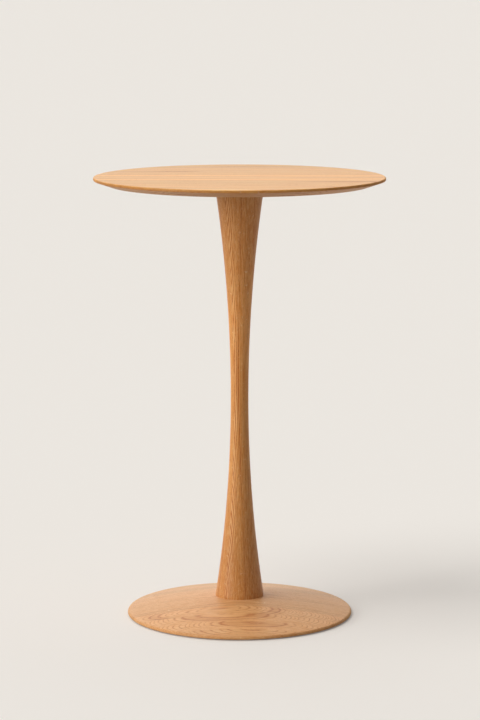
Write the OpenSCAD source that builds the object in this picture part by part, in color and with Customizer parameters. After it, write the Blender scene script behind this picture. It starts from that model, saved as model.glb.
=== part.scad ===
// Round bar table in solid oak. A thin top, bevelled underneath, is carried by a turned
// column that flares from a waist at half its height to both ends, and the column stands
// on a domed foot disc. Steel plates and bolts, all let in from above and below, hold the
// wooden pieces together. Z is up, the floor is z = 0, and the boards run along X.

/* [Table] */
// Height of the top surface above the floor
table_h = 1070; // [950:5:1150]
// Air left around a piece that fits into another
fit = 0.3; // [0.2:0.05:0.5]

/* [Top] */
// Diameter of the top
top_d = 700; // [600:10:800]
// Thickness of the top
top_t = 19; // [18:0.5:30]
// Height of the upright rim above the bevel
top_rim_h = 6.5; // [5:0.5:12]
// Width of the bevel under the rim
top_bevel_w = 37; // [20:1:60]
// Radius of the rim's upper edge
top_arris_r = 2.5; // [1:0.5:3]
// Radius of the edge between rim and bevel
top_nose_r = 1.5; // [0.5:0.5:2]

/* [Column] */
// Diameter of the column where it meets the top
head_d = 120; // [110:1:140]
// Diameter of the column at its waist
waist_d = 43; // [36:1:60]
// Diameter of the column where it meets the foot disc
foot_d = 118; // [110:1:140]
// Height of the waist above the floor
waist_h = 535; // [450:5:620]
// Chamfer turned on both ends of the column
column_arris = 1; // [0.5:0.5:2]
// Diameter of the spigots that centre the column
spigot_d = 40; // [30:1:44]
// Length of the spigot under the column
foot_spigot_l = 12; // [8:1:16]

/* [Foot disc] */
// Diameter of the foot disc
base_d = 547; // [500:1:600]
// Height of the foot disc under the column
base_t = 42.5; // [38:0.5:55]
// Height at which crown and rim would meet in a sharp edge
base_rim_h = 7; // [6:0.5:12]
// Radius that rounds the rim's upper edge
base_rim_r = 5.5; // [3:0.5:6]
// Chamfer of the rim's lower edge
base_arris = 1; // [0.5:0.5:1.5]
// How far the crown swells above a straight slope from column to rim
crown_bulge = 2; // [1:0.5:4]
// Width of the flat ring that shows around the column's foot
seat_margin = 1; // [0.5:0.5:3]

/* [Steel plates] */
// Diameter of the plate between column and top
plate_d = 220; // [200:5:240]
// Thickness of the plate between column and top
plate_t = 5; // [4:0.5:6]
// Thickness of the ballast plate
ballast_t = 8; // [5:1:8]
// Distance from the foot disc's rim to the edge of the ballast plate
ballast_inset = 62; // [55:1:90]
// Air around a plate in its pocket, which lets the wood move
pocket_gap = 0.8; // [0.5:0.1:2]
// Chamfer on the edges of both plates
plate_arris = 0.5; // [0.5:0.5:1]

/* [Column bolts] */
// Number of bolts at each end of the column
bolt_n = 4; // [3:1:6]
// Diameter of the bolts' shank
bolt_d = 8; // [6:1:8]
// Diameter of the bolts' countersunk head
bolt_head_d = 16; // [14:0.5:16]
// Width across the flats of the bolts' hexagon socket
bolt_socket_w = 5; // [4:1:5]
// Diameter of the circle that the bolts stand on
bolt_circle_d = 80; // [76:1:84]
// Length of the foot bolts inside the column
foot_grip = 17.5; // [15:0.5:20]
// Length of the head bolts inside the column
head_grip = 20; // [15:0.5:20]
// Outer diameter of the threaded inserts in the column
insert_d = 12; // [11:0.5:13]
// Length of the threaded inserts in the column
insert_l = 22; // [21:1:26]

/* [Top screws] */
// Number of screws that hold the top
top_screw_n = 6; // [4:1:8]
// Diameter of the top screws' shank
top_screw_d = 6; // [5:1:6]
// Diameter of the top screws' domed head
top_screw_head_d = 10.5; // [10:0.5:12]
// Height of the top screws' domed head
top_screw_head_h = 3.3; // [3:0.1:4]
// Width across the flats of the top screws' hexagon socket
top_screw_socket_w = 4; // [3:1:4]
// Distance from the edge of the upper plate to the top screws
top_screw_inset = 18; // [16:1:20]
// Length of the top screws inside the wood
top_screw_grip = 9.4; // [8:0.2:9.6]
// How far a top screw can shift in its slot, across the boards
slot_travel = 6; // [4:1:8]
// Diameter of the wide washers
washer_d = 18; // [16:1:20]
// Thickness of the wide washers
washer_t = 1.6; // [1:0.2:2]
// Outer diameter of the threaded inserts in the top
top_insert_d = 9; // [8:0.5:10]
// Length of the threaded inserts in the top
top_insert_l = 10; // [9.8:0.1:11]

/* [Ballast screws] */
// Number of screws that hold the ballast plate
ballast_screw_n = 8; // [6:1:12]
// Diameter of the ballast screws' shank
ballast_screw_d = 5; // [4:0.5:5]
// Diameter of the ballast screws' countersunk head
ballast_screw_head_d = 10; // [8:0.5:10]
// Width across the flats of the ballast screws' hexagon socket
ballast_screw_socket_w = 3; // [2:0.5:3]
// Distance from the edge of the ballast plate to its screws
ballast_screw_inset = 25; // [20:1:30]
// Length of the ballast screws inside the wood
ballast_screw_grip = 8; // [6:0.5:8]

/* [Felt glides] */
// Number of felt glides
glide_n = 6; // [4:1:10]
// Diameter of a felt glide
glide_d = 24; // [18:1:26]
// Thickness of a felt glide, which is the gap under the foot disc
glide_t = 2.5; // [2:0.5:5]
// Distance from the foot disc's rim to the middle of a glide
glide_inset = 28; // [20:1:30]

/* [Hidden] */
top_r = top_d / 2;
head_r = head_d / 2;
waist_r = waist_d / 2;
foot_r = foot_d / 2;
spigot_r = spigot_d / 2;
base_r = base_d / 2;
plate_r = plate_d / 2;
ballast_r = base_r - ballast_inset;
bolt_circle_r = bolt_circle_d / 2;
top_screw_circle_r = plate_r - top_screw_inset;
ballast_screw_circle_r = ballast_r - ballast_screw_inset;
glide_circle_r = base_r - glide_inset;

// Heights of the faces at which the pieces meet
base_z = glide_t;
foot_z = base_z + base_t;
head_z = table_h - top_t;
plate_top_z = head_z + plate_t;
washer_z = head_z - washer_t;

// Radius of the flat seat on the foot disc, which the column stands on
seat_r = foot_r + seat_margin;

// Angle of the first bolt, which sets the bolts on the diagonals
bolt_start = 45;
// Depth of a hexagon socket, as a share of its width
socket_share = 0.5;
// Length that a cut runs past the face it opens
past = 1;

// How far the rounding of the rim stands past the crown, so that the two arcs cross
arc_lap = 0.005;

// Facets of a full turn of the large and of the small round forms
wide_turn = 120;
small_turn = 36;
// Length of a facet along the long arcs of column and crown
arc_step = 24;

oak_face = "#e6bd92";
oak_side = "#c48d5b";
black_steel = "#2b2c2f";
zinc_steel = "#b4b8bc";
brass_yellow = "#c8a14b";
grey_felt = "#4b4744";

// Radius of the arc that leaves the axis direction upright and, over a length of reach,
// swings out by spread
function flare_radius(reach, spread) = (reach * reach + spread * spread) / (2 * spread);

// Radius of the arc over a chord, from the chord's length and the arc's height
function bulge_radius(chord, bulge) = (chord * chord / 4 + bulge * bulge) / (2 * bulge);

// Facets of a full turn of a very large circle, each about arc_step long, in four equal
// quarters so that a corner lies on each axis
function long_arc_facets(radius) = 4 * ceil(PI * radius / (2 * arc_step));

function unit(v) = v / norm(v);

// A convex corner between two neighbours is rounded by a circle that touches both sides
function half_angle(before, corner, after) =
    acos(unit(before - corner) * unit(after - corner)) / 2;
function touch_length(before, corner, after, radius) =
    radius / tan(half_angle(before, corner, after));
function round_centre(before, corner, after, radius) =
    corner + unit(unit(before - corner) + unit(after - corner))
    * radius / sin(half_angle(before, corner, after));

// Outline through corners, each rounded by its own radius, or left sharp where it is 0
module rounded_outline(corners, radii) {
    last = len(corners) - 1;
    before = [for (i = [0 : last]) corners[i == 0 ? last : i - 1]];
    after = [for (i = [0 : last]) corners[i == last ? 0 : i + 1]];
    touch = [for (i = [0 : last]) touch_length(before[i], corners[i], after[i], radii[i])];
    polygon([
        for (i = [0 : last])
            for (side = radii[i] > 0 ? [before[i], after[i]] : [corners[i]])
                radii[i] > 0 ? corners[i] + unit(side - corners[i]) * touch[i] : side
    ]);
    for (i = [0 : last])
        if (radii[i] > 0)
            translate(round_centre(before[i], corners[i], after[i], radii[i]))
                circle(r = radii[i], $fn = small_turn);
}

// Copies of a piece on a circle, all facing the same way
module on_circle(count, circle_r, start = 0) {
    for (i = [0 : count - 1])
        rotate(start + 360 * i / count)
            translate([circle_r, 0, 0])
                rotate(-start - 360 * i / count)
                    children();
}

// Countersunk fastener, or with grow above 0 its hole, with its face at z = 0
// and its shank going up
module countersunk(shank_d, head_d, length, grow = 0) {
    head_h = (head_d - shank_d) / 2;
    cylinder(h = head_h, r1 = head_d / 2 + grow, r2 = shank_d / 2 + grow, $fn = small_turn);
    cylinder(h = length, r = shank_d / 2 + grow, $fn = small_turn);
}

// Opening of a countersunk hole, carried past the face that it opens
module countersunk_hole(shank_d, head_d, length) {
    countersunk(shank_d, head_d, length, fit);
    translate([0, 0, -past])
        cylinder(h = past + fit, r = head_d / 2 + fit, $fn = small_turn);
}

// Hexagon socket of a given width across its flats, sunk up from z = 0
module hex_socket(width) {
    translate([0, 0, -past])
        cylinder(h = past + width * socket_share, d = width / cos(30), $fn = 6);
}

// Plain sleeve with its mouth at z = 0, going up
module sleeve(outer_d, inner_d, length) {
    difference() {
        cylinder(h = length, d = outer_d, $fn = small_turn);
        translate([0, 0, -past])
            cylinder(h = length + 2 * past, d = inner_d, $fn = small_turn);
    }
}

// Bored hole with its mouth at z = 0, going up, with its air around the piece in it
module bore_for(piece_d, depth) {
    translate([0, 0, -past])
        cylinder(h = depth + fit + past, r = piece_d / 2 + fit, $fn = small_turn);
}

// Round steel plate with chamfered edges, standing on z = 0
module round_plate(radius, thickness) {
    rotate_extrude($fn = wide_turn)
        polygon([
            [0, 0],
            [radius - plate_arris, 0],
            [radius, plate_arris],
            [radius, thickness - plate_arris],
            [radius - plate_arris, thickness],
            [0, thickness]
        ]);
}

// Half outline of the top, from its flat underside round bevel and rim to its face
module top_outline() {
    bevel_z = table_h - top_rim_h;
    rounded_outline(
        [
            [0, head_z],
            [top_r - top_bevel_w, head_z],
            [top_r, bevel_z],
            [top_r, table_h],
            [0, table_h]
        ],
        [0, 0, top_nose_r, top_arris_r, 0]
    );
}

// Waste turned off beside the blank, from the waist at y = 0 up to the column's end
module flare_waste(end_r, reach) {
    arc_r = flare_radius(reach, end_r - waist_r);
    intersection() {
        square([end_r + past, reach + past]);
        translate([waist_r + arc_r, 0])
            circle(r = arc_r, $fn = long_arc_facets(arc_r));
    }
}

// Half outline of the column: a blank with a spigot at each end, less the waste beside two
// long arcs that meet upright at the waist
module column_outline() {
    blank_r = max(head_r, foot_r);
    foot_end_z = foot_z - foot_spigot_l;
    head_end_z = plate_top_z - fit;
    difference() {
        polygon([
            [0, foot_end_z],
            [spigot_r - column_arris, foot_end_z],
            [spigot_r, foot_end_z + column_arris],
            [spigot_r, foot_z],
            [foot_r - column_arris, foot_z],
            [blank_r, foot_z + blank_r - foot_r + column_arris],
            [blank_r, head_z - blank_r + head_r - column_arris],
            [head_r - column_arris, head_z],
            [spigot_r, head_z],
            [spigot_r, head_end_z - column_arris],
            [spigot_r - column_arris, head_end_z],
            [0, head_end_z]
        ]);
        translate([0, waist_h])
            flare_waste(head_r, head_z - waist_h);
        translate([0, waist_h])
            mirror([0, 1])
                flare_waste(foot_r, waist_h - foot_z);
    }
}

// Half outline of the foot disc from its underside at y = 0: a flat seat, a crown that is
// one long arc, and a rim whose upper edge is rounded into crown and side
module base_outline() {
    seat = [seat_r, base_t];
    rim = [base_r, base_rim_h];
    slope = unit(rim - seat);
    outward = [-slope[1], slope[0]];
    crown_r = bulge_radius(norm(rim - seat), crown_bulge);
    crown_centre = (seat + rim) / 2 - outward * (crown_r - crown_bulge);
    round_x = base_r - base_rim_r;
    round_y = crown_centre[1]
        + sqrt(pow(crown_r - base_rim_r + arc_lap, 2) - pow(round_x - crown_centre[0], 2));
    round_middle = [round_x, round_y];
    waste = 2 * base_rim_r;
    difference() {
        intersection() {
            polygon([
                [0, 0],
                [base_r - base_arris, 0],
                [base_r, base_arris],
                [base_r, base_t],
                [0, base_t]
            ]);
            translate(crown_centre)
                circle(r = crown_r, $fn = long_arc_facets(crown_r));
        }
        difference() {
            polygon([
                round_middle,
                round_middle + [waste, 0],
                round_middle + [waste, waste],
                round_middle + unit(round_middle - crown_centre) * waste
            ]);
            translate(round_middle)
                circle(r = base_rim_r, $fn = small_turn);
        }
    }
}

module table_top() {
    color(oak_face)
        difference() {
            rotate_extrude($fn = wide_turn)
                top_outline();
            translate([0, 0, head_z - past])
                cylinder(h = plate_t + past, r = plate_r + pocket_gap, $fn = wide_turn);
            translate([0, 0, plate_top_z])
                on_circle(top_screw_n, top_screw_circle_r)
                    bore_for(top_insert_d, top_insert_l);
        }
}

module top_inserts() {
    color(brass_yellow)
        translate([0, 0, plate_top_z])
            on_circle(top_screw_n, top_screw_circle_r)
                sleeve(top_insert_d, top_screw_d + 2 * fit, top_insert_l);
}

// Slot for a top screw, long across the boards, which run along X
module movement_slot() {
    slot_w = top_screw_d + 2 * fit;
    translate([-slot_w / 2, -slot_travel / 2, -past])
        cube([slot_w, slot_travel, plate_t + 2 * past]);
    for (side = [-1, 1])
        translate([0, side * slot_travel / 2, -past])
            cylinder(h = plate_t + 2 * past, d = slot_w, $fn = small_turn);
}

module top_plate() {
    color(black_steel)
        translate([0, 0, head_z])
            difference() {
                round_plate(plate_r, plate_t);
                translate([0, 0, -past])
                    cylinder(h = plate_t + 2 * past, r = spigot_r + fit, $fn = wide_turn);
                on_circle(top_screw_n, top_screw_circle_r)
                    movement_slot();
                translate([0, 0, plate_t])
                    mirror([0, 0, 1])
                        on_circle(bolt_n, bolt_circle_r, bolt_start)
                            countersunk_hole(bolt_d, bolt_head_d, plate_t + past);
            }
}

module plate_washers() {
    color(zinc_steel)
        translate([0, 0, washer_z])
            on_circle(top_screw_n, top_screw_circle_r)
                sleeve(washer_d, top_screw_d + 2 * fit, washer_t);
}

// Domed head that hangs below z = 0, cut from a ball that gives it its height and width
module domed_head(width, height) {
    ball_r = flare_radius(width / 2, height);
    rotate_extrude($fn = small_turn)
        intersection() {
            translate([0, -height])
                square([width / 2, height]);
            translate([0, ball_r - height])
                circle(r = ball_r, $fn = 2 * small_turn);
        }
}

module plate_screws() {
    shank_l = washer_t + plate_t + top_screw_grip;
    color(zinc_steel)
        translate([0, 0, washer_z])
            on_circle(top_screw_n, top_screw_circle_r)
                difference() {
                    union() {
                        domed_head(top_screw_head_d, top_screw_head_h);
                        cylinder(h = shank_l, d = top_screw_d, $fn = small_turn);
                    }
                    translate([0, 0, -top_screw_head_h])
                        hex_socket(top_screw_socket_w);
                }
}

// Countersunk fastener with a hexagon socket, its face at z = 0 and its shank going up
module socket_fastener(shank_d, head_d, socket_w, length) {
    difference() {
        countersunk(shank_d, head_d, length);
        hex_socket(socket_w);
    }
}

module head_bolts() {
    color(zinc_steel)
        translate([0, 0, plate_top_z])
            mirror([0, 0, 1])
                on_circle(bolt_n, bolt_circle_r, bolt_start)
                    socket_fastener(bolt_d, bolt_head_d, bolt_socket_w, plate_t + head_grip);
}

module head_inserts() {
    color(brass_yellow)
        translate([0, 0, head_z])
            mirror([0, 0, 1])
                on_circle(bolt_n, bolt_circle_r, bolt_start)
                    sleeve(insert_d, bolt_d + 2 * fit, insert_l);
}

module column() {
    color(oak_side)
        difference() {
            rotate_extrude($fn = wide_turn)
                column_outline();
            translate([0, 0, foot_z])
                on_circle(bolt_n, bolt_circle_r, bolt_start)
                    bore_for(insert_d, insert_l);
            translate([0, 0, head_z])
                mirror([0, 0, 1])
                    on_circle(bolt_n, bolt_circle_r, bolt_start)
                        bore_for(insert_d, insert_l);
        }
}

module foot_inserts() {
    color(brass_yellow)
        translate([0, 0, foot_z])
            on_circle(bolt_n, bolt_circle_r, bolt_start)
                sleeve(insert_d, bolt_d + 2 * fit, insert_l);
}

module foot_bolts() {
    color(zinc_steel)
        translate([0, 0, base_z])
            on_circle(bolt_n, bolt_circle_r, bolt_start)
                socket_fastener(bolt_d, bolt_head_d, bolt_socket_w, base_t + foot_grip);
}

module base_disc() {
    color(oak_face)
        translate([0, 0, base_z])
            difference() {
                rotate_extrude($fn = wide_turn)
                    base_outline();
                translate([0, 0, -past])
                    cylinder(h = ballast_t + past, r = ballast_r + pocket_gap, $fn = wide_turn);
                translate([0, 0, base_t])
                    mirror([0, 0, 1])
                        bore_for(spigot_d, foot_spigot_l);
                on_circle(bolt_n, bolt_circle_r, bolt_start)
                    bore_for(bolt_d, base_t + past);
                translate([0, 0, ballast_t])
                    on_circle(ballast_screw_n, ballast_screw_circle_r)
                        bore_for(ballast_screw_d, ballast_screw_grip);
            }
}

module ballast_plate() {
    color(black_steel)
        translate([0, 0, base_z])
            difference() {
                round_plate(ballast_r, ballast_t);
                on_circle(bolt_n, bolt_circle_r, bolt_start)
                    countersunk_hole(bolt_d, bolt_head_d, ballast_t + past);
                on_circle(ballast_screw_n, ballast_screw_circle_r)
                    countersunk_hole(ballast_screw_d, ballast_screw_head_d, ballast_t + past);
            }
}

module ballast_screws() {
    length = ballast_t + ballast_screw_grip;
    color(zinc_steel)
        translate([0, 0, base_z])
            on_circle(ballast_screw_n, ballast_screw_circle_r)
                socket_fastener(
                    ballast_screw_d,
                    ballast_screw_head_d,
                    ballast_screw_socket_w,
                    length
                );
}

module felt_glides() {
    color(grey_felt)
        on_circle(glide_n, glide_circle_r)
            cylinder(h = glide_t, d = glide_d, $fn = small_turn);
}

table_top();
top_inserts();
top_plate();
plate_washers();
plate_screws();
head_bolts();
head_inserts();
column();
foot_inserts();
foot_bolts();
base_disc();
ballast_plate();
ballast_screws();
felt_glides();
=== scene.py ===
import math

import bmesh
import bpy
from mathutils import Matrix, Vector


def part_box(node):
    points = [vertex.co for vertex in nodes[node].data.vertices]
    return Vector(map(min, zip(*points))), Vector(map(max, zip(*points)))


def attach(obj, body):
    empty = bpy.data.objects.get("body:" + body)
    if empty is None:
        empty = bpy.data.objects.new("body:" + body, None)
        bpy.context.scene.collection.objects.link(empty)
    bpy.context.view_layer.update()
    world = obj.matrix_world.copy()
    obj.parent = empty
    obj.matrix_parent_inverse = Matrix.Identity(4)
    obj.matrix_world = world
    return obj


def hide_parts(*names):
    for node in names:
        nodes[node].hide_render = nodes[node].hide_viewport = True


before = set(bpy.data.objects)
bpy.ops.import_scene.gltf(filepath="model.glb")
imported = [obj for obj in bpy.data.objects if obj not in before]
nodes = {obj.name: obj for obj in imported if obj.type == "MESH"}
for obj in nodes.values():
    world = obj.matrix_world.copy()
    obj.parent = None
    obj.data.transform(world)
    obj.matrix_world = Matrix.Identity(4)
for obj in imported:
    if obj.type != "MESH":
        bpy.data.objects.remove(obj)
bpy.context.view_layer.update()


# Foot disc. A thick round of solid oak, glued up from narrow strips that run along X, then
# turned on its upper side to a low crown with a soft rim and oiled. It carries the column
# on the flat seat in its middle, and a pocket in its underside holds the ballast plate.
disc_low, disc_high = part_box("base_disc")
ballast_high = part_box("ballast_plate")[1]
column_low, column_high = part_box("column")
disc_seat_r = 0.060
disc_side_h = 0.007
disc_rim_r = 0.0055
disc_rim_steps = 10
disc_arris = 0.001
# The crown bulges this far above the straight line from the seat to the rim
disc_bulge = 0.002
disc_crown_steps = 40
spigot_r = 0.020
bolt_r = 0.004
bolt_circle_r = 0.040
bolt_count = 4
bolt_start = math.radians(45)
ballast_screw_r = 0.0025
ballast_screw_count = 8
ballast_screw_inset = 0.025
ballast_screw_grip = 0.008
pocket_air = 0.0008
bore_air = 0.0003
# A bore's bit runs this far past the face that the bore opens into
past = 0.001
# The flats beside an arris end in a point this close to it, which keeps their shading flat
guard = 0.0004
turn_steps = 240
bore_steps = 48
turned_weld = 1e-6
sharp_turn = math.radians(32)


def linear(colour):
    """An sRGB hex colour as the linear red, green, blue and alpha that a shader takes."""
    parts = [int(colour[i:i + 2], 16) / 255 for i in (1, 3, 5)]
    bent = [c / 12.92 if c <= 0.04045 else ((c + 0.055) / 1.055) ** 2.4 for c in parts]
    return (*bent, 1.0)


def add_node(tree, kind, settings, inputs):
    """A shader node with its settings, and with a value or a link on each socket named."""
    made = tree.nodes.new(kind)
    for name, value in settings.items():
        setattr(made, name, value)
    for name, value in inputs.items():
        if isinstance(value, bpy.types.Node):
            value = value.outputs[0]
        if isinstance(value, bpy.types.NodeSocket):
            tree.links.new(value, made.inputs[name])
        else:
            made.inputs[name].default_value = value
    return made


def blank_material(name):
    """A new material without any nodes, and its tree."""
    made = bpy.data.materials.new(name)
    made.use_nodes = True
    made.node_tree.nodes.clear()
    return made, made.node_tree


def set_stops(ramp, interpolation, stops):
    """The stops of a colour ramp, each a place from 0 to 1 and three parts."""
    ramp.interpolation = interpolation
    while len(ramp.elements) < len(stops):
        ramp.elements.new(1.0)
    for element, (place, parts) in zip(ramp.elements, stops):
        element.position = place
        element.color = (*parts, 1.0)


def arc_points(centre, radius, first, last, steps):
    """Points on an arc between two angles in radians, both ends included."""
    turns = [first + (last - first) * i / steps for i in range(steps + 1)]
    return [centre + radius * Vector((math.cos(a), math.sin(a))) for a in turns]


def rounded_corner(before, corner, after, radius, steps):
    """The arc that rounds a corner of an outline, with a guard point on the flat at each end."""
    to_before = (before - corner).normalized()
    to_after = (after - corner).normalized()
    half = to_before.angle(to_after) / 2
    middle = corner + (to_before + to_after).normalized() * radius / math.sin(half)
    start = corner + to_before * radius / math.tan(half)
    end = corner + to_after * radius / math.tan(half)
    first = math.atan2(start.y - middle.y, start.x - middle.x)
    arc = arc_points(middle, radius, first, first + math.pi - 2 * half, steps)
    return [start + to_before * guard, *arc, end + to_after * guard]


def turned(name, outline):
    """A piece turned on the lathe: its half outline, from the axis round to the axis, spun."""
    shape = bmesh.new()
    points = [shape.verts.new((p[0], 0.0, p[1])) for p in outline]
    edges = [shape.edges.new(pair) for pair in zip(points, points[1:])]
    bmesh.ops.spin(
        shape,
        geom=points + edges,
        axis=(0, 0, 1),
        cent=(0, 0, 0),
        steps=turn_steps,
        angle=math.tau,
        use_merge=True,
    )
    bmesh.ops.remove_doubles(shape, verts=shape.verts, dist=turned_weld)
    bmesh.ops.recalc_face_normals(shape, faces=shape.faces)
    mesh = bpy.data.meshes.new(name)
    shape.to_mesh(mesh)
    shape.free()
    piece = bpy.data.objects.new(name, mesh)
    bpy.context.scene.collection.objects.link(piece)
    return piece


def bore_out(piece, holes):
    """Bores upright holes into a piece. Each has a radius, a place and its two ends."""
    bits = bmesh.new()
    for radius, place, low, high in holes:
        bmesh.ops.create_cone(
            bits,
            cap_ends=True,
            segments=bore_steps,
            radius1=radius,
            radius2=radius,
            depth=high - low,
            matrix=Matrix.Translation((*place, (low + high) / 2)),
        )
    bit_mesh = bpy.data.meshes.new("bits")
    bits.to_mesh(bit_mesh)
    bits.free()
    bit = bpy.data.objects.new("bits", bit_mesh)
    bpy.context.scene.collection.objects.link(bit)
    boring = piece.modifiers.new("boring", "BOOLEAN")
    boring.solver = "EXACT"
    boring.operation = "DIFFERENCE"
    boring.object = bit
    bpy.context.view_layer.update()
    cut = piece.evaluated_get(bpy.context.evaluated_depsgraph_get())
    bored = bpy.data.meshes.new_from_object(cut)
    piece.modifiers.clear()
    piece.data = bored
    bpy.data.objects.remove(bit)


def smooth_turned(piece):
    """Smooth shading, with the turned arrises and the mouths of the bores left sharp."""
    piece.data.shade_smooth()
    piece.data.set_sharp_from_angle(angle=sharp_turn)


def on_circle(count, radius, start):
    """Places on a circle about the column's axis."""
    angles = [start + math.tau * i / count for i in range(count)]
    return [(radius * math.cos(a), radius * math.sin(a)) for a in angles]


disc_bottom = disc_low.z
disc_top = disc_high.z
disc_r = min(disc_high.x, disc_high.y)
seat_edge = Vector((disc_seat_r, disc_top))
crown_edge = Vector((disc_r, disc_bottom + disc_side_h))
chord = crown_edge - seat_edge
crown_r = (chord.length_squared / 4 + disc_bulge ** 2) / (2 * disc_bulge)
crown_out = Vector((-chord.y, chord.x)).normalized()
crown_centre = (seat_edge + crown_edge) / 2 - crown_out * (crown_r - disc_bulge)
rim_x = disc_r - disc_rim_r
rim_rise = math.sqrt((crown_r - disc_rim_r) ** 2 - (rim_x - crown_centre.x) ** 2)
rim_centre = Vector((rim_x, crown_centre.y + rim_rise))
touch = math.atan2(rim_centre.y - crown_centre.y, rim_centre.x - crown_centre.x)
seat_turn = math.atan2(seat_edge.y - crown_centre.y, seat_edge.x - crown_centre.x)
pocket_r = ballast_high.x + pocket_air
pocket_top = ballast_high.z
foot_disc = turned("foot_disc", [
    (0, pocket_top),
    (pocket_r, pocket_top),
    (pocket_r, disc_bottom),
    (disc_r - disc_arris, disc_bottom),
    (disc_r, disc_bottom + disc_arris),
    *arc_points(rim_centre, disc_rim_r, 0.0, touch, disc_rim_steps),
    *arc_points(crown_centre, crown_r, touch, seat_turn, disc_crown_steps)[1:],
    (disc_seat_r - guard, disc_top),
    (0, disc_top),
])
ballast_screw_circle_r = ballast_high.x - ballast_screw_inset
bore_out(foot_disc, [
    (spigot_r + bore_air, (0, 0), column_low.z - bore_air, disc_top + past),
    *[
        (bolt_r + bore_air, place, pocket_top - past, disc_top + past)
        for place in on_circle(bolt_count, bolt_circle_r, bolt_start)
    ],
    *[
        (ballast_screw_r + bore_air, place, pocket_top - past, pocket_top + ballast_screw_grip)
        for place in on_circle(ballast_screw_count, ballast_screw_circle_r, 0.0)
    ],
])
smooth_turned(foot_disc)

# Oiled oak is warm straw to honey brown. A year's growth starts with a line of open pores,
# which take the oil darkly, and ends in denser, paler wood, and rays show as short silky
# flecks where the cut follows them. The figure is solid, so that one cut shows straight
# grain, another arches, and the end of a board fine arcs.

# The wood's own two tones, and what the lines, the fibres and the pores leave of them
oak_tones = ("#EBB36F", "#D39354")
oak_line = "#D59B5C"
oak_thread = "#EED4AA"
oak_pore = "#D8C2AC"
oak_fleck = "#F3D2A6"
# A board's noise is taken at its pith's offset times this, so that no two boards are alike
oak_noise_apart = 97.0
# Growth strays from a true cylinder over these lengths along and across, and ripples finely
oak_stray_l = 0.26
oak_stray_w = 0.060
oak_ripple = 0.0008
oak_ripple_l = 0.040
oak_ripple_w = 0.007
# Years come early or late by up to the first value, in waves of about four years, so that
# some are wide and others narrow
oak_year_drift = 1.6
oak_drift_waves_a_year = 0.23
# How open-pored the wood is at the turn of a year, where the line of pores is full, where it
# starts to thin out, and where it ends
oak_open_at_turn = 0.60
oak_open_full = 1.00
oak_open_thinning = 0.90
oak_open_at_end = 0.10
# The line is full from this part of a year, and thins out from this share of its width
oak_full_from = 0.05
oak_thin_from = 0.65
# At this part of a year the wood is densest
oak_dense_at = 0.88
# The faintest year's line keeps this share of the darkest one's
oak_faint_line = 0.6
# Streaks of tone along the fibres, and runs of about four paler or deeper years
oak_streak_l = 0.30
oak_streak_w = 0.010
oak_streak_roughness = 0.68
oak_run_of_years = 4.0
# How far the wood near the pith is deeper, and far from it paler, than between
oak_heart_pull = 0.25
# Streaks, runs and heart add up to a cloud, pale up to the first value, deep from the second
oak_cloud = (0.72, 1.28)
# Pores are 0.3 mm wide and 4 mm long on the real wood, and drawn two or three times as large.
# An edge is the two levels of noise between which a pore, a ray or a thread sets in
oak_pore_l = 0.008
oak_pore_w = 0.0009
oak_pore_edge = (0.54, 0.66)
# Rays are 0.2 mm thick on the real wood, and drawn four times as thick
oak_ray_l = 0.008
oak_ray_w = 0.0008
oak_ray_deep = 0.014
oak_ray_edge = (0.66, 0.78)
oak_ray_share = 0.6
# This width of rays, side by side, fills a radian about the pith
oak_ray_fan = 0.07
# Fibres show as fine threads of tone, drawn about ten times as coarse as they are
oak_fibre_l = 0.090
oak_fibre_w = 0.0022
oak_fibre_edge = (0.3, 0.7)
# End grain drinks more oil: it keeps this share of its paleness, and is this much rougher.
# It begins where the fibres lean out of the surface by more than this share of their length
oak_end_share = 0.92
oak_end_roughness = 0.28
oak_end_from = 0.25
# A satin film of oil lies on the dense wood, and little of it in the pores, which dip
oak_ior = 1.48
oak_gloss = 0.50
oak_pore_gloss = 0.10
oak_pore_dip = 0.0002
oak_pore_dip_share = 0.15
# Raised fibres scatter a straw-coloured haze towards an eye that looks along the surface
oak_nap = "#F7DBAE"
oak_nap_roughness = 0.5
# The parts of a ramp can't be below 0, so places on it are measured from this far outside
reach = 0.5


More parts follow.
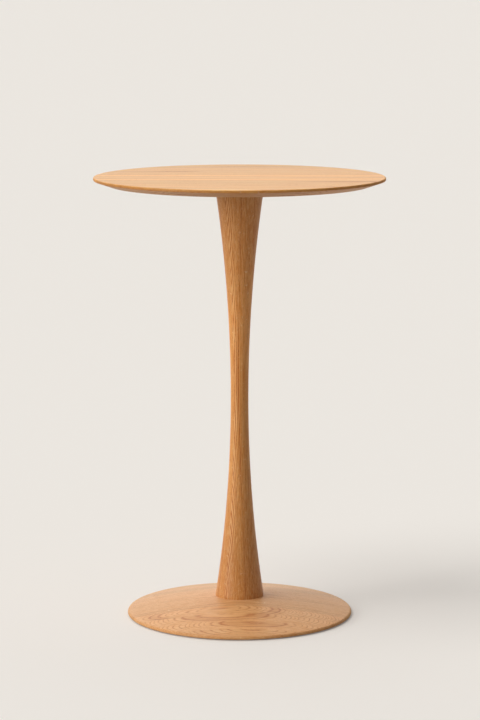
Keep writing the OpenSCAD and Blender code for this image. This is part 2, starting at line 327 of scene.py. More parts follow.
def oiled_oak(name, tones, skin_range, nap, lay, year_w, open_part, stray, line_share,
              heart, boards):
    """Oak with a solid figure. tones are its pale and its deep one, skin_range the roughness
    between its pores and in them, and nap how much raised fibre it has. lay gives the place
    along the grain, across and up, the board's place in the list from 0 to 1, the grain's
    direction, and what the wood's colour is multiplied by there, which carries the painted
    light along the column and the painted shade on the rims. year_w is a year's width,
    open_part the share of it that is open-pored, stray how far growth strays, and line_share
    how dark its lines are. The wood is deepest within the first radius of heart and palest
    past the second. A board has its far end in the list, its pith's place across and up, the
    pith's lean, and its tone, which on the disc and the top is partly painted light and shade."""
    material, tree = blank_material(name)
    coords = add_node(tree, "ShaderNodeTexCoord", {}, {})
    along, across, up, board_at, grain, share = lay(tree, coords)

    # Each board's pith, tone and place in the noise
    starts = [0.0, *[far for far, *_ in boards[:-1]]]
    pith = add_node(tree, "ShaderNodeValToRGB", {}, {"Fac": board_at})
    set_stops(pith.color_ramp, "CONSTANT", [
        (start, (side + reach, height + reach, lean + reach))
        for start, (_, side, height, lean, _) in zip(starts, boards)
    ])
    tone = add_node(tree, "ShaderNodeValToRGB", {}, {"Fac": board_at})
    set_stops(tone.color_ramp, "CONSTANT", [
        (start, (shade, shade, shade)) for start, (*_, shade) in zip(starts, boards)
    ])
    pith_place = add_node(tree, "ShaderNodeVectorMath", {"operation": "SUBTRACT"},
                          {0: pith, 1: (reach, reach, reach)})
    pith_part = add_node(tree, "ShaderNodeSeparateXYZ", {}, {0: pith_place}).outputs
    seed = add_node(tree, "ShaderNodeMath", {"operation": "MULTIPLY"},
                    {0: pith_part[0], 1: oak_noise_apart})

    # The wood's age is its distance from the pith, along which growth strays and ripples
    place = add_node(tree, "ShaderNodeCombineXYZ", {}, {0: along, 1: across, 2: up})
    stray_place = add_node(tree, "ShaderNodeVectorMath", {"operation": "DIVIDE"},
                           {0: place, 1: (oak_stray_l, oak_stray_w, oak_stray_w)})
    stray_grain = add_node(tree, "ShaderNodeTexNoise", {"noise_dimensions": "4D"},
                           {"Vector": stray_place, "W": seed, "Scale": 1.0, "Detail": 1.0})
    stray_by = add_node(tree, "ShaderNodeVectorMath", {"operation": "MULTIPLY_ADD"},
                        {0: stray_grain.outputs["Color"], 1: (0.0, stray, stray),
                         2: (0.0, -stray / 2, -stray / 2)})
    pith_height = add_node(tree, "ShaderNodeMath", {"operation": "MULTIPLY_ADD"},
                           {0: pith_part[2], 1: along, 2: pith_part[1]})
    pith_line = add_node(tree, "ShaderNodeCombineXYZ", {},
                         {0: along, 1: pith_part[0], 2: pith_height})
    from_pith = add_node(tree, "ShaderNodeVectorMath", {"operation": "SUBTRACT"},
                         {0: place, 1: pith_line})
    grown = add_node(tree, "ShaderNodeVectorMath", {"operation": "ADD"},
                     {0: from_pith, 1: stray_by})
    smooth_age = add_node(tree, "ShaderNodeVectorMath", {"operation": "LENGTH"}, {0: grown})
    ripple_place = add_node(tree, "ShaderNodeVectorMath", {"operation": "DIVIDE"},
                            {0: place, 1: (oak_ripple_l, oak_ripple_w, oak_ripple_w)})
    ripple = add_node(tree, "ShaderNodeTexNoise", {"noise_dimensions": "4D"},
                      {"Vector": ripple_place, "W": seed, "Scale": 1.0, "Detail": 1.0})
    age = add_node(tree, "ShaderNodeMath", {"operation": "MULTIPLY_ADD"},
                   {0: ripple, 1: oak_ripple, 2: smooth_age.outputs["Value"]})

    # Each year runs from its line of open pores to its dense late wood
    even_years = add_node(tree, "ShaderNodeMath", {"operation": "DIVIDE"},
                          {0: age, 1: year_w})
    year_drift = add_node(tree, "ShaderNodeTexNoise", {"noise_dimensions": "1D"},
                          {"W": even_years, "Scale": oak_drift_waves_a_year, "Detail": 2.0})
    years = add_node(tree, "ShaderNodeMath", {"operation": "MULTIPLY_ADD"},
                     {0: year_drift, 1: oak_year_drift, 2: even_years})
    season = add_node(tree, "ShaderNodeMath", {"operation": "FRACT"}, {0: years})
    year = add_node(tree, "ShaderNodeMath", {"operation": "FLOOR"}, {0: years})
    year_luck = add_node(tree, "ShaderNodeTexWhiteNoise", {"noise_dimensions": "1D"},
                         {"W": year})
    early = add_node(tree, "ShaderNodeValToRGB", {}, {"Fac": season})
    openness = [
        (0.0, oak_open_at_turn),
        (oak_full_from, oak_open_full),
        (oak_thin_from * open_part, oak_open_thinning),
        (open_part, oak_open_at_end),
        (oak_dense_at, 0.0),
        (1.0, oak_open_at_turn),
    ]
    set_stops(early.color_ramp, "LINEAR", [(at, (much,) * 3) for at, much in openness])
    line_depth = add_node(tree, "ShaderNodeMapRange", {},
                          {"Value": year_luck, "To Min": oak_faint_line * line_share,
                           "To Max": line_share})
    line = add_node(tree, "ShaderNodeMath", {"operation": "MULTIPLY"},
                    {0: early, 1: line_depth})

    # Runs of years, streaks and the heart make a cloud between the pale and the deep tone
    run = add_node(tree, "ShaderNodeTexNoise", {"noise_dimensions": "1D"},
                   {"W": years, "Scale": 1 / oak_run_of_years, "Detail": 1.0})
    streak_place = add_node(tree, "ShaderNodeVectorMath", {"operation": "DIVIDE"},
                            {0: place, 1: (oak_streak_l, oak_streak_w, oak_streak_w)})
    streak = add_node(tree, "ShaderNodeTexNoise", {"noise_dimensions": "4D"},
                      {"Vector": streak_place, "W": seed, "Scale": 1.0, "Detail": 5.0,
                       "Roughness": oak_streak_roughness})
    cloud = add_node(tree, "ShaderNodeMath", {"operation": "ADD"}, {0: streak, 1: run})
    heart_in, heart_out = heart
    heart_tone = add_node(tree, "ShaderNodeMapRange", {},
                          {"Value": age, "From Min": heart_in, "From Max": heart_out,
                           "To Min": oak_heart_pull, "To Max": -oak_heart_pull})
    clouded = add_node(tree, "ShaderNodeMath", {"operation": "ADD"},
                       {0: cloud, 1: heart_tone})
    depth = add_node(tree, "ShaderNodeMapRange", {"interpolation_type": "SMOOTHSTEP"},
                     {"Value": clouded, "From Min": oak_cloud[0],
                      "From Max": oak_cloud[1]})

    # Pores lie where the wood is open, and fibres everywhere
    pore_place = add_node(tree, "ShaderNodeVectorMath", {"operation": "DIVIDE"},
                          {0: place, 1: (oak_pore_l, oak_pore_w, oak_pore_w)})
    pore_grain = add_node(tree, "ShaderNodeTexNoise", {},
                          {"Vector": pore_place, "Scale": 1.0, "Detail": 0.0})
    pore_share = add_node(tree, "ShaderNodeMapRange", {},
                          {"Value": pore_grain, "From Min": oak_pore_edge[0],
                           "From Max": oak_pore_edge[1]})
    pores = add_node(tree, "ShaderNodeMath", {"operation": "MULTIPLY"},
                     {0: pore_share, 1: early})
    fibre_place = add_node(tree, "ShaderNodeVectorMath", {"operation": "DIVIDE"},
                           {0: place, 1: (oak_fibre_l, oak_fibre_w, oak_fibre_w)})
    fibre_grain = add_node(tree, "ShaderNodeTexNoise", {},
                           {"Vector": fibre_place, "Scale": 1.0, "Detail": 1.0})
    fibre_share = add_node(tree, "ShaderNodeMapRange", {},
                           {"Value": fibre_grain, "From Min": oak_fibre_edge[0],
                            "From Max": oak_fibre_edge[1]})

    # Rays are thin sheets that run out from the pith, like the pages of a book
    grown_part = add_node(tree, "ShaderNodeSeparateXYZ", {}, {0: grown}).outputs
    bearing = add_node(tree, "ShaderNodeMath", {"operation": "ARCTAN2"},
                       {0: grown_part[1], 1: grown_part[2]})
    page = add_node(tree, "ShaderNodeMath", {"operation": "MULTIPLY"},
                    {0: bearing, 1: oak_ray_fan})
    page_place = add_node(tree, "ShaderNodeCombineXYZ", {},
                          {0: along, 1: page, 2: age})
    ray_place = add_node(tree, "ShaderNodeVectorMath", {"operation": "DIVIDE"},
                         {0: page_place, 1: (oak_ray_l, oak_ray_w, oak_ray_deep)})
    ray_grain = add_node(tree, "ShaderNodeTexNoise", {},
                         {"Vector": ray_place, "Scale": 1.0, "Detail": 1.0})
    rays = add_node(tree, "ShaderNodeMapRange", {},
                    {"Value": ray_grain, "From Min": oak_ray_edge[0],
                     "From Max": oak_ray_edge[1], "To Max": oak_ray_share})

    # Where and how far the fibres end in the surface
    end_on = add_node(tree, "ShaderNodeVectorMath", {"operation": "DOT_PRODUCT"},
                      {0: coords.outputs["Normal"], 1: grain})
    end_size = add_node(tree, "ShaderNodeMath", {"operation": "ABSOLUTE"},
                        {0: end_on.outputs["Value"]})
    end_share = add_node(tree, "ShaderNodeMapRange", {},
                         {"Value": end_size, "From Min": oak_end_from, "From Max": 1.0,
                          "To Min": 1.0, "To Max": oak_end_share})

    # The colour is laid over the wood's two tones, from the lines to the end grain
    wood = add_node(tree, "ShaderNodeMix", {"data_type": "RGBA"},
                    {"Factor": depth, 6: linear(tones[0]), 7: linear(tones[1])})
    lined = add_node(tree, "ShaderNodeMix", {"data_type": "RGBA", "blend_type": "MULTIPLY"},
                     {"Factor": line, 6: wood.outputs[2], 7: linear(oak_line)})
    flecked = add_node(tree, "ShaderNodeMix", {"data_type": "RGBA"},
                       {"Factor": rays, 6: lined.outputs[2], 7: linear(oak_fleck)})
    pored = add_node(tree, "ShaderNodeMix", {"data_type": "RGBA", "blend_type": "MULTIPLY"},
                     {"Factor": pores, 6: flecked.outputs[2], 7: linear(oak_pore)})
    toned = add_node(tree, "ShaderNodeVectorMath", {"operation": "MULTIPLY"},
                     {0: pored.outputs[2], 1: tone})
    fibred = add_node(tree, "ShaderNodeMix", {"data_type": "RGBA", "blend_type": "MULTIPLY"},
                      {"Factor": fibre_share, 6: toned, 7: linear(oak_thread)})
    shared = add_node(tree, "ShaderNodeVectorMath", {"operation": "MULTIPLY"},
                      {0: fibred.outputs[2], 1: share})
    ended = add_node(tree, "ShaderNodeVectorMath", {"operation": "SCALE"},
                     {0: shared, "Scale": end_share})

    # Pores and end grain are rougher, and light that falls into the open pores comes back
    # neither as gloss nor as haze
    face_skin = add_node(tree, "ShaderNodeMapRange", {},
                         {"Value": pores, "To Min": skin_range[0], "To Max": skin_range[1]})
    end_skin = add_node(tree, "ShaderNodeMapRange", {},
                        {"Value": end_size, "From Min": oak_end_from, "From Max": 1.0,
                         "To Max": oak_end_roughness})
    skin = add_node(tree, "ShaderNodeMath", {"operation": "ADD"}, {0: face_skin, 1: end_skin})
    relief = add_node(tree, "ShaderNodeBump", {"invert": True},
                      {"Strength": oak_pore_dip_share, "Distance": oak_pore_dip,
                       "Height": pores})
    gloss = add_node(tree, "ShaderNodeMapRange", {},
                     {"Value": line, "To Min": oak_gloss, "To Max": oak_pore_gloss})
    haze = add_node(tree, "ShaderNodeMapRange", {},
                    {"Value": line, "To Min": nap, "To Max": 0.0})
    surface = add_node(tree, "ShaderNodeBsdfPrincipled", {},
                       {"Base Color": ended, "Roughness": skin, "IOR": oak_ior,
                        "Specular IOR Level": gloss, "Sheen Weight": haze,
                        "Sheen Roughness": oak_nap_roughness,
                        "Sheen Tint": linear(oak_nap), "Normal": relief})
    add_node(tree, "ShaderNodeOutputMaterial", {}, {"Surface": surface})
    return material


def lay_along_x(first_edge, width, face_z, rim_shade):
    """Boards that run along X, one behind the other across a width. On the rim, below
    face_z, the wood's colour is multiplied by rim_shade, painted shade that makes the rim
    deeper than the face."""
    def lay(tree, coords):
        part = add_node(tree, "ShaderNodeSeparateXYZ", {},
                        {0: coords.outputs["Object"]}).outputs
        board_at = add_node(tree, "ShaderNodeMapRange", {},
                            {"Value": part[1], "From Min": first_edge,
                             "From Max": first_edge + width})
        on_face = add_node(tree, "ShaderNodeMapRange", {},
                           {"Value": part[2], "From Min": face_z - rim_fade,
                            "From Max": face_z})
        share = add_node(tree, "ShaderNodeMix", {"data_type": "RGBA"},
                         {"Factor": on_face, 6: linear(rim_shade), 7: linear(face_filter)})
        return part[0], part[1], part[2], board_at, (1.0, 0.0, 0.0), share.outputs[2]
    return lay


# Over this height the rim's painted shade passes into the face's filter, which takes nothing
# away
rim_fade = 0.002
face_filter = "#FFFFFF"
# The disc's rim is drawn a little deeper than its crown: painted shade
disc_rim_painted_shade = "#FAFAFA"
# Strips from the front of the disc to its back: pith across and up, its lean, and the tone. The
# tones are partly the strips' own and partly painted light and shade: lighter on the front
# strips, deeper on the back ones where the top and the column shade the disc
strip_w = 0.0457
first_seam_y = -0.2785
disc_strips = [
    (-0.250, 0.140, -0.026, 1.00),
    (-0.215, 0.125, -0.026, 1.06),
    (-0.165, 0.130, 0.028, 1.05),
    (-0.125, 0.130, 0.053, 1.02),
    (-0.180, 0.030, 0.010, 0.94),
    (-0.085, -0.020, -0.010, 0.93),
    (0.100, 0.000, 0.020, 0.95),
    (0.260, -0.260, 0.010, 0.93),
    (0.330, 0.220, 0.020, 0.84),
    (-0.100, 0.230, 0.010, 0.90),
    (0.390, 0.210, -0.020, 0.83),
    (0.240, -0.060, 0.020, 0.89),
]
strip_count = len(disc_strips)
# The disc's strips are a little less yellow than the column
disc_tones = ("#EBB67D", "#D39356")
oak_of_disc = oiled_oak(
    "oiled_oak_of_foot_disc",
    tones=disc_tones,
    skin_range=(0.52, 0.58),
    nap=0.37,
    lay=lay_along_x(first_seam_y, strip_w * strip_count, rim_centre.y + disc_rim_r,
                    disc_rim_painted_shade),
    year_w=0.0017,
    open_part=0.27,
    stray=0.006,
    line_share=0.56,
    heart=(0.0, 0.030),
    boards=[((i + 1) / strip_count, *strip) for i, strip in enumerate(disc_strips)],
)
foot_disc.data.materials.clear()
foot_disc.data.materials.append(oak_of_disc)
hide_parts("base_disc")
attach(foot_disc, "root")


# Ballast plate and the plate under the top. Round plates cut from mild steel, with their
# edges broken, and powder-coated black. The first is let into the underside of the foot
# disc for weight, and the second joins the column to the top.

# Powder coat is a thick matt skin with a fine pebble, drawn coarser than its real 0.4 mm
coat_black = "#202123"
coat_grey = "#2C2D30"
coat_pebble = 0.0011
coat_relief_h = 0.0002
coat_relief_share = 0.25
coat_clouds_per_m = 30.0
coat_skin_range = (0.42, 0.62)
coat_ior = 1.5
powder_coat, coat_tree = blank_material("black_powder_coat_on_steel")
coat_coords = add_node(coat_tree, "ShaderNodeTexCoord", {}, {})
coat_noise = add_node(coat_tree, "ShaderNodeTexNoise", {}, {
    "Vector": coat_coords.outputs["Object"], "Scale": 1 / coat_pebble, "Detail": 2.0})
coat_cloud = add_node(coat_tree, "ShaderNodeTexNoise", {}, {
    "Vector": coat_coords.outputs["Object"], "Scale": coat_clouds_per_m, "Detail": 3.0})
coat_colour = add_node(coat_tree, "ShaderNodeMix", {"data_type": "RGBA"}, {
    "Factor": coat_cloud, 6: linear(coat_black), 7: linear(coat_grey)})
coat_skin = add_node(coat_tree, "ShaderNodeMapRange", {}, {
    "Value": coat_cloud, "To Min": coat_skin_range[0], "To Max": coat_skin_range[1]})
coat_relief = add_node(coat_tree, "ShaderNodeBump", {}, {
    "Strength": coat_relief_share, "Distance": coat_relief_h, "Height": coat_noise})
coat_surface = add_node(coat_tree, "ShaderNodeBsdfPrincipled", {}, {
    "Base Color": coat_colour.outputs[2], "Roughness": coat_skin, "IOR": coat_ior,
    "Normal": coat_relief})
add_node(coat_tree, "ShaderNodeOutputMaterial", {}, {"Surface": coat_surface})
for plate in ("ballast_plate", "top_plate"):
    nodes[plate].material_slots[0].material = powder_coat


# Bolts, screws and washers. Turned and pressed from steel and bright zinc plated. The bolts
# and screws have hexagon sockets, and the washers let the top move over the plate.

# Bright zinc is a cool, slightly cloudy metal with a faint blue and yellow cast
zinc_blue = "#B6BCC4"
zinc_straw = "#C4C1B4"
zinc_cloud = 0.004
zinc_skin_range = (0.22, 0.42)
bright_zinc, zinc_tree = blank_material("bright_zinc_on_steel")
zinc_coords = add_node(zinc_tree, "ShaderNodeTexCoord", {}, {})
zinc_noise = add_node(zinc_tree, "ShaderNodeTexNoise", {}, {
    "Vector": zinc_coords.outputs["Object"], "Scale": 1 / zinc_cloud, "Detail": 3.0})
zinc_colour = add_node(zinc_tree, "ShaderNodeMix", {"data_type": "RGBA"}, {
    "Factor": zinc_noise, 6: linear(zinc_blue), 7: linear(zinc_straw)})
zinc_skin = add_node(zinc_tree, "ShaderNodeMapRange", {}, {
    "Value": zinc_noise, "To Min": zinc_skin_range[0], "To Max": zinc_skin_range[1]})
zinc_surface = add_node(zinc_tree, "ShaderNodeBsdfPrincipled", {}, {
    "Base Color": zinc_colour.outputs[2], "Roughness": zinc_skin, "Metallic": 1.0})
add_node(zinc_tree, "ShaderNodeOutputMaterial", {}, {"Surface": zinc_surface})
for fastener in ("ballast_screws", "foot_bolts", "head_bolts", "plate_screws", "plate_washers"):
    nodes[fastener].material_slots[0].material = bright_zinc


# Threaded inserts. Sleeves turned from brass and driven into bores in the wood, where the
# bolts and screws take hold.

# Turned brass is warm yellow, with the fine rings that the tool leaves, drawn at 0.6 mm
brass_bright = "#D3AE57"
brass_dull = "#A98641"
brass_ring = 0.0006
brass_ring_waver = 0.4
brass_skin_range = (0.36, 0.24)
# Waves of scale 1 come again after this length
wave_l = math.tau / 20
turned_brass, brass_tree = blank_material("turned_brass")
brass_coords = add_node(brass_tree, "ShaderNodeTexCoord", {}, {})
brass_rings = add_node(brass_tree, "ShaderNodeTexWave",
                       {"wave_type": "BANDS", "bands_direction": "Z"},
                       {"Vector": brass_coords.outputs["Object"],
                        "Scale": wave_l / brass_ring, "Distortion": brass_ring_waver})
brass_colour = add_node(brass_tree, "ShaderNodeMix", {"data_type": "RGBA"}, {
    "Factor": brass_rings, 6: linear(brass_dull), 7: linear(brass_bright)})
brass_skin = add_node(brass_tree, "ShaderNodeMapRange", {}, {
    "Value": brass_rings, "To Min": brass_skin_range[0], "To Max": brass_skin_range[1]})
brass_surface = add_node(brass_tree, "ShaderNodeBsdfPrincipled", {}, {
    "Base Color": brass_colour.outputs[2], "Roughness": brass_skin, "Metallic": 1.0})
add_node(brass_tree, "ShaderNodeOutputMaterial", {}, {"Surface": brass_surface})
for insert in ("foot_inserts", "head_inserts", "top_inserts"):
    nodes[insert].material_slots[0].material = turned_brass


# Felt glides. Pads punched from pressed wool felt and glued under the foot disc, which keep
# it off the floor and leave the thin dark gap under its rim.

# Pressed felt is dull and mottled, with matted fibres about 0.02 mm thick, drawn coarser
felt_dark = "#3B3836"
felt_light = "#5B5652"
felt_fibre = 0.0008
felt_mat = 1.5
felt_relief_h = 0.0004
felt_relief_share = 0.6
felt_roughness = 0.95
felt_nap = 0.25
felt_nap_roughness = 0.6
felt_ior = 1.45
pressed_felt, felt_tree = blank_material("pressed_wool_felt")
felt_coords = add_node(felt_tree, "ShaderNodeTexCoord", {}, {})
felt_noise = add_node(felt_tree, "ShaderNodeTexNoise", {}, {
    "Vector": felt_coords.outputs["Object"], "Scale": 1 / felt_fibre, "Detail": 4.0,
    "Distortion": felt_mat})
felt_colour = add_node(felt_tree, "ShaderNodeMix", {"data_type": "RGBA"}, {
    "Factor": felt_noise, 6: linear(felt_dark), 7: linear(felt_light)})
felt_relief = add_node(felt_tree, "ShaderNodeBump", {}, {
    "Strength": felt_relief_share, "Distance": felt_relief_h, "Height": felt_noise})
felt_surface = add_node(felt_tree, "ShaderNodeBsdfPrincipled", {}, {
    "Base Color": felt_colour.outputs[2], "Roughness": felt_roughness, "IOR": felt_ior,
    "Sheen Weight": felt_nap, "Sheen Roughness": felt_nap_roughness,
    "Normal": felt_relief})
add_node(felt_tree, "ShaderNodeOutputMaterial", {}, {"Surface": felt_surface})
nodes["felt_glides"].material_slots[0].material = pressed_felt


# Column. Oak, glued up from four pieces about its axis and turned to an hourglass of two
# long arcs that meet upright at the waist, with a spigot at each end that centres it. The
# brass inserts for the bolts are let into both of its ends.
column_r = min(column_high.x, column_high.y)
foot_r = 0.059
waist_r = 0.0215
waist_z = 0.535
column_arris = 0.001
# A flare's points that lie closer to the end than this share of the arris make way for it
arris_room = 0.2
head_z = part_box("table_top")[0].z
insert_r = 0.006
insert_l = 0.022


def flare(end_r, end_z, steps):
    """Points of the arc that leaves the waist upright and ends at end_r and end_z."""
    spread = end_r - waist_r
    rise = end_z - waist_z
    arc_r = (rise ** 2 + spread ** 2) / (2 * spread)
    heights = [rise * i / steps for i in range(steps + 1)]
    return [(waist_r + arc_r - math.sqrt(arc_r ** 2 - h ** 2), waist_z + h) for h in heights]


def arris_on(points, end_r):
    """Ends a flare with the small chamfer turned on the column's end."""
    low = [p for p in points if p[0] < end_r - column_arris * arris_room]
    return [*low, (end_r - column_arris, points[-1][1])]


flare_steps = 90
lower = arris_on(flare(foot_r, disc_top, flare_steps), foot_r)
upper = arris_on(flare(column_r, head_z, flare_steps), column_r)
column_piece = turned("column_turned", [
    (0, column_low.z),
    (spigot_r - column_arris, column_low.z),
    (spigot_r, column_low.z + column_arris),
    (spigot_r, disc_top),
    *reversed(lower),
    *upper[1:],
    (spigot_r, head_z),
    (spigot_r, column_high.z - column_arris),
    (spigot_r - column_arris, column_high.z),
    (0, column_high.z),
])
bore_out(column_piece, [
    *[
        (insert_r + bore_air, place, disc_top - past, disc_top + insert_l + bore_air)
        for place in on_circle(bolt_count, bolt_circle_r, bolt_start)
    ],
    *[
        (insert_r + bore_air, place, head_z - insert_l - bore_air, head_z + past)
        for place in on_circle(bolt_count, bolt_circle_r, bolt_start)
    ],
])
smooth_turned(column_piece)

# The glue lines are two upright planes through the axis, turned by this much
seam_turn = math.radians(-38)
seam_along = Vector((math.sin(seam_turn), -math.cos(seam_turn), 0.0))
seam_across = Vector((math.cos(seam_turn), math.sin(seam_turn), 0.0))
# The column is drawn paler where it is thin, about the waist, and deeper where it is thick
core_r = 0.024
core_share = 1.13
outer_r = 0.046
outer_share = 0.92
# Painted light: the column is drawn palest about this height and deeper over this length above
# and below, as the light on it falls off
painted_light_z = 0.74
painted_light_share = 1.11
painted_light_l = 0.28
painted_shade_share = 0.92
# The list of pieces has its second half in front, and the second of each pair on the right.
# A place in the list falls in the middle of its piece's part
front_step = 0.5
right_step = 0.25
half_part = 0.125


def lay_round_axis(tree, coords):
    """Four pieces about the column's axis, with the grain upright. The colour is paler near the
    axis, and painted light makes it palest at one height.
    """
    place = coords.outputs["Object"]
    height = add_node(tree, "ShaderNodeSeparateXYZ", {}, {0: place}).outputs[2]
    across = add_node(tree, "ShaderNodeVectorMath", {"operation": "DOT_PRODUCT"},
                      {0: place, 1: seam_across}).outputs["Value"]
    up = add_node(tree, "ShaderNodeVectorMath", {"operation": "DOT_PRODUCT"},
                  {0: place, 1: seam_along}).outputs["Value"]
    right_of_seam = add_node(tree, "ShaderNodeMath", {"operation": "GREATER_THAN"},
                             {0: across, 1: 0.0})
    front_of_seam = add_node(tree, "ShaderNodeMath", {"operation": "GREATER_THAN"},
                             {0: up, 1: 0.0})
    pair = add_node(tree, "ShaderNodeMath", {"operation": "MULTIPLY_ADD"},
                    {0: front_of_seam, 1: front_step, 2: half_part})
    board_at = add_node(tree, "ShaderNodeMath", {"operation": "MULTIPLY_ADD"},
                        {0: right_of_seam, 1: right_step, 2: pair})
    sideways = add_node(tree, "ShaderNodeCombineXYZ", {}, {0: across, 1: up})
    off_axis = add_node(tree, "ShaderNodeVectorMath", {"operation": "LENGTH"}, {0: sideways})
    share = add_node(tree, "ShaderNodeMapRange", {},
                     {"Value": off_axis.outputs["Value"], "From Min": core_r,
                      "From Max": outer_r, "To Min": core_share, "To Max": outer_share})
    from_painted_light = add_node(tree, "ShaderNodeMath", {"operation": "SUBTRACT"},
                         {0: height, 1: painted_light_z})
    from_painted_light_size = add_node(tree, "ShaderNodeMath", {"operation": "ABSOLUTE"},
                              {0: from_painted_light})
    painted_light_by_height = add_node(tree, "ShaderNodeMapRange", {},
                            {"Value": from_painted_light_size, "From Max": painted_light_l,
                             "To Min": painted_light_share, "To Max": painted_shade_share})
    both = add_node(tree, "ShaderNodeMath", {"operation": "MULTIPLY"},
                    {0: share, 1: painted_light_by_height})
    return height, across, up, board_at, (0.0, 0.0, 1.0), both


# Pieces behind left, behind right, front left and front right: far end in the list, pith
# across and up, its lean, and the tone
column_pieces = [
    (0.25, 0.070, -0.080, 0.010, 1.00),
    (0.50, -0.040, 0.090, -0.010, 0.98),
    (0.75, -0.1058, 0.027, 0.005, 1.03),
    (1.00, -0.0163, 0.0906, 0.0135, 1.00),
]
oak_of_column = oiled_oak(
    "oiled_oak_of_column",
    tones=oak_tones,
    skin_range=(0.47, 0.56),
    nap=0.0,
    lay=lay_round_axis,
    year_w=0.0028,
    open_part=0.40,
    stray=0.002,
    line_share=1.0,
    heart=(0.0, 0.048),
    boards=column_pieces,
)
column_piece.data.materials.clear()
column_piece.data.materials.append(oak_of_column)
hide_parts("column")
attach(column_piece, "root")


# Table top. Wide oak boards glued edge to edge along X, planed flat above, then turned with
# a deep bevel underneath and soft arrises on the rim. The steel plate is let into its
# underside, and brass inserts take the screws.
top_low, top_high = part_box("table_top")
plate_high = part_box("top_plate")[1]
top_rim_h = 0.0065
top_bevel_w = 0.037
top_arris_r = 0.0025
top_nose_r = 0.0015
top_arris_steps = 10
top_nose_steps = 6
top_insert_r = 0.0045
top_insert_l = 0.010
top_screw_count = 6
top_screw_inset = 0.018
top_r = min(top_high.x, top_high.y)
top_pocket_r = plate_high.x + pocket_air
under_edge = Vector((top_r - top_bevel_w, top_low.z))
nose = Vector((top_r, top_high.z - top_rim_h))
edge = Vector((top_r, top_high.z))
centre_above = Vector((0, top_high.z))
bevel_way = (nose - under_edge).normalized()
table_top = turned("table_top_boards", [
    (0, plate_high.z),
    (top_pocket_r, plate_high.z),
    (top_pocket_r, top_low.z),
    (under_edge.x - guard, top_low.z),
    under_edge,
    under_edge + bevel_way * guard,
    *rounded_corner(under_edge, nose, edge, top_nose_r, top_nose_steps),
    *rounded_corner(nose, edge, centre_above, top_arris_r, top_arris_steps),
    centre_above,
])
bore_out(table_top, [
    (top_insert_r + bore_air, place, plate_high.z - past, plate_high.z + top_insert_l)
    for place in on_circle(top_screw_count, plate_high.x - top_screw_inset, 0.0)
])
smooth_turned(table_top)

# The top's tones are paler and yellower than the turned pieces: painted sheen and light, which
# stand in for the grazing sheen and the brighter light on its face
top_tones_with_painted_sheen = ("#FEC464", "#E9AE55")
# Its rim and bevel are drawn deeper and less yellow than the face: painted shade, which takes
# the face's painted sheen and light off again on the rim
top_rim_painted_shade = "#DED4E2"
# Boards from the front to the back: far edge, pith across and up, its lean, and the tone. The
# tones are partly the boards' own and partly painted sheen: the middle boards are lighter and
# the front and back ones deeper, as the sheen on the face is
top_width = 0.720
top_first_y = -0.360
top_boards = [
    (-0.290, -0.330, 0.900, 0.004, 0.93),
    (-0.220, -0.260, 1.150, 0.004, 1.03),
    (-0.111, -0.130, 0.960, 0.003, 0.96),
    (0.064, -0.020, 0.930, -0.003, 1.05),
    (0.219, 0.140, 1.180, 0.003, 0.96),
    (0.360, 0.280, 0.950, 0.002, 0.88),
]
oak_of_top = oiled_oak(
    "oiled_oak_of_top",
    tones=top_tones_with_painted_sheen,
    skin_range=(0.48, 0.60),
    nap=0.15,
    lay=lay_along_x(top_first_y, top_width, top_high.z - guard, top_rim_painted_shade),
    year_w=0.0026,
    open_part=0.30,
    stray=0.004,
    line_share=0.60,
    heart=(0.05, 0.30),
    boards=[((far - top_first_y) / top_width, *rest) for far, *rest in top_boards],
)
table_top.data.materials.clear()
table_top.data.materials.append(oak_of_top)
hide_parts("table_top")
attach(table_top, "root")


# Floor. A plain pale floor without an edge, which shows its own colour to the eye and in
# reflections, keeps the table's shadow, and throws a little light up. From below it is clear.
floor_pale = "#EBE5DD"
floor_lit = "#FCF7F0"
floor_glow = 0.15
floor_bounce = "#BCB9B4"
floor_reach = 70.0
floor_mesh = bpy.data.meshes.new("floor")
floor_mesh.from_pydata(
    [(-floor_reach, -floor_reach, 0), (floor_reach, -floor_reach, 0),
     (floor_reach, floor_reach, 0), (-floor_reach, floor_reach, 0)],
    [],
    [(0, 1, 2, 3)],
)
floor = bpy.data.objects.new("floor", floor_mesh)
bpy.context.scene.collection.objects.link(floor)
paint, paint_tree = blank_material("matt_floor_paint")
paint_path = add_node(paint_tree, "ShaderNodeLightPath", {}, {})
paint_direct = add_node(paint_tree, "ShaderNodeMath", {"operation": "MAXIMUM"}, {
    0: paint_path.outputs["Is Camera Ray"], 1: paint_path.outputs["Is Glossy Ray"]})
paint_seen = add_node(paint_tree, "ShaderNodeMath", {"operation": "MAXIMUM"}, {
    0: paint_direct, 1: paint_path.outputs["Is Transmission Ray"]})
paint_lit = add_node(paint_tree, "ShaderNodeBsdfDiffuse", {}, {"Color": linear(floor_lit)})
paint_own = add_node(paint_tree, "ShaderNodeEmission", {}, {"Color": linear(floor_pale)})
paint_shown = add_node(paint_tree, "ShaderNodeMixShader", {}, {
    "Fac": floor_glow, 1: paint_lit, 2: paint_own})
paint_thrown = add_node(paint_tree, "ShaderNodeBsdfDiffuse", {},
                        {"Color": linear(floor_bounce)})
paint_above = add_node(paint_tree, "ShaderNodeMixShader", {}, {
    "Fac": paint_seen, 1: paint_thrown, 2: paint_shown})
paint_clear = add_node(paint_tree, "ShaderNodeBsdfTransparent", {}, {})
paint_side = add_node(paint_tree, "ShaderNodeNewGeometry", {}, {})
paint_all = add_node(paint_tree, "ShaderNodeMixShader", {}, {
    "Fac": paint_side.outputs["Backfacing"], 1: paint_above, 2: paint_clear})
add_node(paint_tree, "ShaderNodeOutputMaterial", {}, {"Surface": paint_all})
floor_mesh.materials.append(paint)


# Light. A large soft lamp high on the left, one low on the left and a little in front, a
# wide one behind that lays a sheen on what lies flat, and a room that is brighter behind
# and overhead. The eye and reflections see the room in the floor's colour.
room_level = 0.24
room_bright_level = 1.00
room_bright_way = Vector((-0.40, 0.80, 0.40)).normalized()
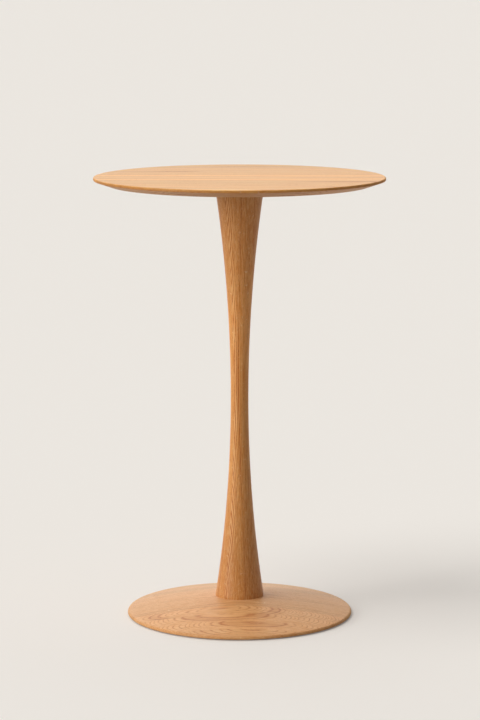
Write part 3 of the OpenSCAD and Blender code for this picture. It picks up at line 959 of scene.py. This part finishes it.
# A lamp's name, the way to it, its width and its strength
lamps = [
    ("high_lamp", Vector((-0.480, -0.230, 0.847)), math.radians(38), 1.08),
    ("low_lamp", Vector((-0.870, -0.462, 0.174)), math.radians(28), 1.42),
    ("back_lamp", Vector((-0.340, 0.905, 0.255)), math.radians(60), 0.78),
]
for lamp_name, lamp_way, lamp_width, lamp_strength in lamps:
    lamp_data = bpy.data.lights.new(lamp_name, "SUN")
    lamp_data.energy = lamp_strength
    lamp_data.angle = lamp_width
    lamp = bpy.data.objects.new(lamp_name, lamp_data)
    lamp.rotation_mode = "QUATERNION"
    lamp.rotation_quaternion = lamp_way.to_track_quat("Z", "Y")
    bpy.context.scene.collection.objects.link(lamp)
room = bpy.data.worlds.new("studio_room")
room.use_nodes = True
room_tree = room.node_tree
room_tree.nodes.clear()
room_coords = add_node(room_tree, "ShaderNodeTexCoord", {}, {})
room_facing = add_node(room_tree, "ShaderNodeVectorMath", {"operation": "DOT_PRODUCT"}, {
    0: room_coords.outputs["Generated"], 1: room_bright_way})
room_bright = add_node(room_tree, "ShaderNodeMapRange", {"interpolation_type": "SMOOTHSTEP"}, {
    "Value": room_facing.outputs["Value"], "To Min": room_level,
    "To Max": room_bright_level})
room_light = add_node(room_tree, "ShaderNodeBackground", {}, {"Strength": room_bright})
room_pale = add_node(room_tree, "ShaderNodeBackground", {}, {
    "Color": linear(floor_pale), "Strength": 1.0})
room_path = add_node(room_tree, "ShaderNodeLightPath", {}, {})
room_direct = add_node(room_tree, "ShaderNodeMath", {"operation": "MAXIMUM"}, {
    0: room_path.outputs["Is Camera Ray"], 1: room_path.outputs["Is Glossy Ray"]})
room_seen = add_node(room_tree, "ShaderNodeMath", {"operation": "MAXIMUM"}, {
    0: room_direct, 1: room_path.outputs["Is Transmission Ray"]})
room_all = add_node(room_tree, "ShaderNodeMixShader", {}, {
    "Fac": room_seen, 1: room_light, 2: room_pale})
add_node(room_tree, "ShaderNodeOutputWorld", {}, {"Surface": room_all})
bpy.context.scene.world = room


# Camera. A long lens six and a half metres away, a little above the top and pitched down.
# It stands almost straight before the table, with the film's long side upright.
eye_back = 6.5434
eye_height = 1.6555
eye_right = 0.00095
eye_pitch = math.radians(8.939)
lens_mm = 137.04
film_mm = 36.0
sight_end = 100.0
eye_data = bpy.data.cameras.new("eye")
eye_data.lens = lens_mm
eye_data.sensor_width = film_mm
eye_data.clip_end = sight_end
eye = bpy.data.objects.new("eye", eye_data)
eye.location = (eye_right, -eye_back, eye_height)
eye.rotation_euler = (math.pi / 2 - eye_pitch, 0.0, 0.0)
bpy.context.scene.collection.objects.link(eye)
bpy.context.scene.camera = eye
bpy.context.scene.view_settings.view_transform = "Standard"
